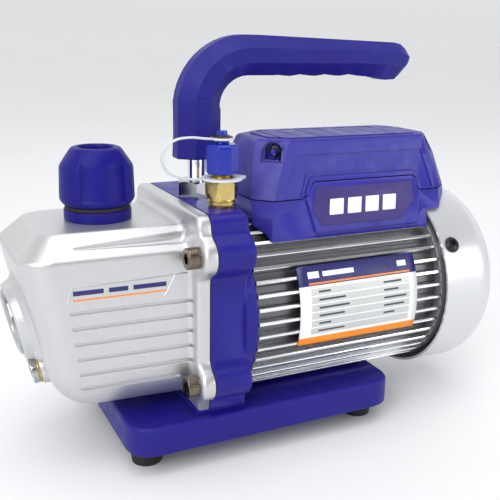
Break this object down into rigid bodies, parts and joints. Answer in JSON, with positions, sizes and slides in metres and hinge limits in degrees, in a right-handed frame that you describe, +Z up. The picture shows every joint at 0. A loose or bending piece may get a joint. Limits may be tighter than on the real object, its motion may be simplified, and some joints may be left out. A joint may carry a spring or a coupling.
{
  "type": "refrigerant vacuum pump",
  "caption": "Portable oil-sealed rotary vane vacuum pump: cast oil reservoir, bracket with flare inlet, finned motor, terminal box and carrying handle on a base tray.",
  "frame": {"origin": "middle of the whole object's length and width, on the plane under the feet", "axes": "+X along the shaft from the oil reservoir to the fan cover, +Y to the side away from the nameplate, +Z up"},
  "size_m": [0.2739, 0.1134, 0.2105],
  "materials": {
    "blue_paint": "satin powder coat",
    "blue_paint_bracket": "satin powder coat with a slight metallic look",
    "cast_silver": "fine-grained silver coated casting",
    "gasket": "matte",
    "screw_steel": "zinc plated",
    "sight_glass": "dark, oil behind it",
    "bright_metal": "bright plated",
    "brass": "machined",
    "blue_plastic": "satin",
    "seal_rubber": "matte",
    "white_plastic": "satin",
    "blue_cap": "glossy, slightly translucent",
    "handle_plastic": "fine texture",
    "foot_rubber": "matte",
    "fin_aluminium": "extruded, bright fin edges",
    "lamination": "stacked sheet",
    "copper_winding": "enamelled copper wire",
    "bearing_steel": "ground",
    "shield_aluminium": "cast",
    "black_plastic": "moulded",
    "cowl_metal": "bright pressed sheet, clear coated",
    "black_screw": "blackened",
    "nameplate": "printed sheet, no text",
    "box_plastic": "fine texture",
    "badge_plate": "smooth",
    "rocker_plastic": "moulded",
    "gland_rubber": "matte",
    "pump_iron": "machined",
    "vane_composite": "filled composite"
  },
  "bodies": {
    "pump_frame": {"base_plate": "blue_paint", "foot_reservoir_near": "foot_rubber", "foot_reservoir_far": "foot_rubber", "foot_motor_near": "foot_rubber", "foot_motor_far": "foot_rubber", "pump_bracket": "blue_paint_bracket", "oil_reservoir": "cast_silver", "reservoir_gasket": "gasket", "reservoir_screw_upper_near": "screw_steel", "reservoir_screw_upper_far": "screw_steel", "reservoir_screw_lower_near": "screw_steel", "reservoir_screw_lower_far": "screw_steel", "sight_glass": "sight_glass", "sight_glass_ring": "bright_metal", "filler_neck": "blue_plastic", "inlet_fitting": "brass", "strap_collar": "white_plastic", "cap_strap": "white_plastic", "handle_grip": "handle_plastic", "handle_stud": "bright_metal", "handle_nut": "bright_metal", "motor_housing": "fin_aluminium", "stator_core": "lamination", "winding_front": "copper_winding", "winding_rear": "copper_winding", "bearing_front": "bearing_steel", "bearing_rear": "bearing_steel", "shaft_seal": "seal_rubber", "rear_end_shield": "shield_aluminium", "fan_cover": "cowl_metal", "cover_screw_1": "black_screw", "cover_screw_2": "black_screw", "cover_screw_3": "black_screw", "nameplate": "nameplate", "terminal_box_base": "box_plastic", "terminal_box_cover": "box_plastic", "box_screw_front_near": "screw_steel", "box_screw_front_far": "screw_steel", "box_screw_rear_near": "screw_steel", "box_screw_rear_far": "screw_steel", "badge_plate": "badge_plate", "run_capacitor": "black_plastic", "switch_housing": "black_plastic", "cord_gland": "gland_rubber", "pump_cylinder": "pump_iron", "pump_end_plate": "pump_iron"},
    "rotor": {"motor_shaft": "screw_steel", "rotor_core": "lamination", "cooling_fan": "black_plastic", "pump_rotor": "bearing_steel"},
    "vane_near_body": {"vane_near": "vane_composite"},
    "vane_far_body": {"vane_far": "vane_composite"},
    "oil_cap_carrier": {"oil_cap_seal": "seal_rubber"},
    "oil_cap_body": {"oil_cap": "blue_plastic"},
    "inlet_cap_carrier": {"strap_eyelet": "white_plastic"},
    "inlet_cap_body": {"inlet_cap": "blue_cap"},
    "drain_carrier": {"drain_washer": "brass"},
    "drain_plug_body": {"drain_plug": "brass"},
    "switch_rocker_body": {"switch_rocker": "rocker_plastic"},
    "reed_body": {"reed_valve": "bright_metal"}
  },
  "joints": [
    {"name": "shaft_spin", "type": "hinge", "parent": "pump_frame", "child": "rotor", "pos_m": [0, 0, 0.07], "axis": [1, 0, 0], "continuous": true},
    {"name": "vane_near_slide", "type": "slide", "parent": "rotor", "child": "vane_near_body", "axis": [0, -1, 0], "range_m": [-0.0015, 0]},
    {"name": "vane_far_slide", "type": "slide", "parent": "rotor", "child": "vane_far_body", "axis": [0, 1, 0], "range_m": [-0.0015, 0]},
    {"name": "oil_cap_lift", "type": "slide", "parent": "pump_frame", "child": "oil_cap_carrier", "axis": [0, 0, 1], "range_m": [0, 0.0076]},
    {"name": "oil_cap_turn", "type": "hinge", "parent": "oil_cap_carrier", "child": "oil_cap_body", "pos_m": [-0.08774, 0, 0.13], "axis": [0, 0, 1], "range_deg": [0, 1080]},
    {"name": "inlet_cap_lift", "type": "slide", "parent": "pump_frame", "child": "inlet_cap_carrier", "axis": [0, 0, 1], "range_m": [0, 0.0064], "deforming": ["cap_strap"]},
    {"name": "inlet_cap_turn", "type": "hinge", "parent": "inlet_cap_carrier", "child": "inlet_cap_body", "pos_m": [-0.03354, -0.0295, 0.15], "axis": [0, 0, 1], "range_deg": [0, 1800]},
    {"name": "drain_plug_travel", "type": "slide", "parent": "pump_frame", "child": "drain_carrier", "axis": [-0.9767, 0, -0.2147], "range_m": [0, 0.0091]},
    {"name": "drain_plug_turn", "type": "hinge", "parent": "drain_carrier", "child": "drain_plug_body", "pos_m": [-0.11724, 0, 0.046], "axis": [-0.9767, 0, -0.2147], "range_deg": [0, 2160]},
    {"name": "switch_rock", "type": "hinge", "parent": "pump_frame", "child": "switch_rocker_body", "pos_m": [0.03796, 0.0301, 0.123], "axis": [0, -0.2159, 0.9764], "range_deg": [0, 14]},
    {"name": "reed_lift", "type": "hinge", "parent": "pump_frame", "child": "reed_body", "pos_m": [-0.05004, 0.007, 0.093], "axis": [0, 1, 0], "range_deg": [0, 4], "stiffness_Nm_per_rad": 0.01}
  ],
  "couplings": [
    {"joint": "oil_cap_lift", "follows": "oil_cap_turn", "m_per_rad": 0.00039789},
    {"joint": "inlet_cap_lift", "follows": "inlet_cap_turn", "m_per_rad": 0.00020213},
    {"joint": "drain_plug_travel", "follows": "drain_plug_turn", "m_per_rad": 0.00023873}
  ]
}
